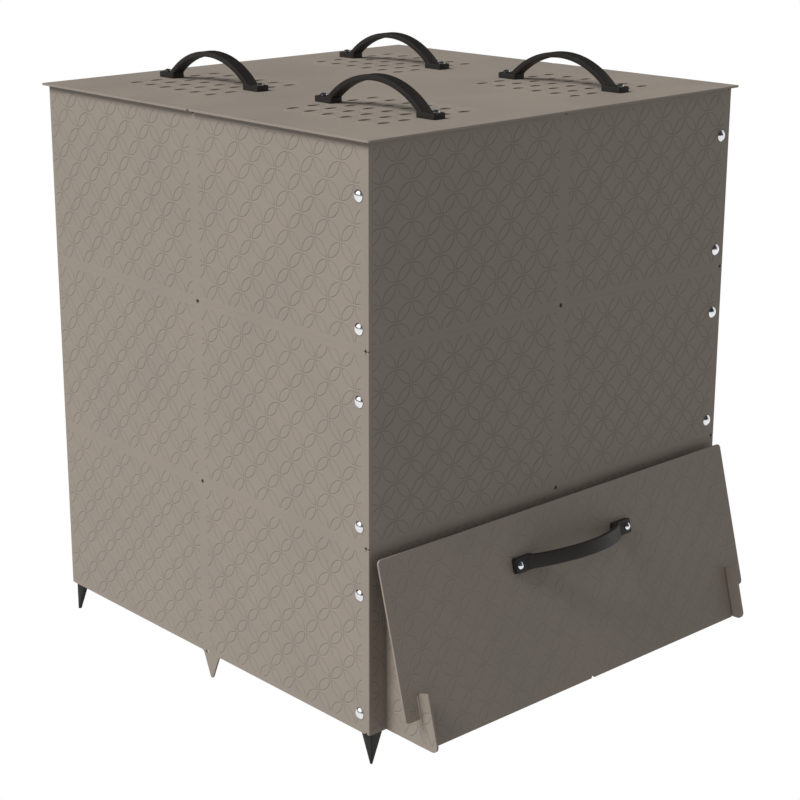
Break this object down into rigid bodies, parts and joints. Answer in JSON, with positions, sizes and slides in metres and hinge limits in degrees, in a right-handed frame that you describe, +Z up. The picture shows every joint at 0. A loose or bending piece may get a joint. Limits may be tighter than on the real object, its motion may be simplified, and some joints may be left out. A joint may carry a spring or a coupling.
{
  "type": "compost bin",
  "caption": "Square garden compost bin of bolted plastic panels with a leaning lift-out door and a flat vented folding lid with bow handles.",
  "frame": {"origin": "middle of the whole part's plan, at the level of the tips of the corner posts", "axes": "+Z up, +Y from the door towards the back, +X to the right as seen when facing the door"},
  "size_m": [0.736, 0.8266, 0.904],
  "materials": {
    "wall_sheet": "embossed taupe sheet, matte",
    "black_plastic": "fine grained black moulding",
    "post_black": "satin black paint",
    "bright_steel": "bright zinc plated"
  },
  "bodies": {
    "bin": {"door_frame_panel": "wall_sheet", "front_panel_middle": "wall_sheet", "front_panel_top": "wall_sheet", "corner_post_front_left": "post_black", "front_bolt_1": "bright_steel", "front_bolt_2": "bright_steel", "front_bolt_3": "bright_steel", "front_bolt_4": "bright_steel", "front_bolt_5": "bright_steel", "front_bolt_6": "bright_steel", "right_panel_bottom": "wall_sheet", "right_panel_middle": "wall_sheet", "right_panel_top": "wall_sheet", "corner_post_front_right": "post_black", "right_bolt_1": "bright_steel", "right_bolt_2": "bright_steel", "right_bolt_3": "bright_steel", "right_bolt_4": "bright_steel", "right_bolt_5": "bright_steel", "right_bolt_6": "bright_steel", "back_panel_bottom": "wall_sheet", "back_panel_middle": "wall_sheet", "back_panel_top": "wall_sheet", "corner_post_back_right": "post_black", "back_bolt_1": "bright_steel", "back_bolt_2": "bright_steel", "back_bolt_3": "bright_steel", "back_bolt_4": "bright_steel", "back_bolt_5": "bright_steel", "back_bolt_6": "bright_steel", "left_panel_bottom": "wall_sheet", "left_panel_middle": "wall_sheet", "left_panel_top": "wall_sheet", "corner_post_back_left": "post_black", "left_bolt_1": "bright_steel", "left_bolt_2": "bright_steel", "left_bolt_3": "bright_steel", "left_bolt_4": "bright_steel", "left_bolt_5": "bright_steel", "left_bolt_6": "bright_steel"},
    "door": {"door": "wall_sheet", "door_handle": "black_plastic", "door_screw_1": "bright_steel", "door_screw_2": "bright_steel"},
    "lid_rear": {"lid_rear": "wall_sheet", "lid_rear_left_handle": "black_plastic", "lid_rear_left_screw_1": "bright_steel", "lid_rear_left_screw_2": "bright_steel", "lid_rear_right_handle": "black_plastic", "lid_rear_right_screw_1": "bright_steel", "lid_rear_right_screw_2": "bright_steel"},
    "lid_front": {"lid_front": "wall_sheet", "lid_front_left_handle": "black_plastic", "lid_front_left_screw_1": "bright_steel", "lid_front_left_screw_2": "bright_steel", "lid_front_right_handle": "black_plastic", "lid_front_right_screw_1": "bright_steel", "lid_front_right_screw_2": "bright_steel"}
  },
  "joints": [
    {"name": "door_lift", "type": "slide", "parent": "bin", "child": "door", "axis": [0, 0, 1], "range_m": [0, 0.09]},
    {"name": "lid_lift", "type": "slide", "parent": "bin", "child": "lid_rear", "axis": [0, 0, 1], "range_m": [0, 0.25]},
    {"name": "lid_fold", "type": "hinge", "parent": "lid_rear", "child": "lid_front", "pos_m": [0, 0.0453, 0.8559], "axis": [-1, 0, 0], "range_deg": [0, 140]}
  ]
}
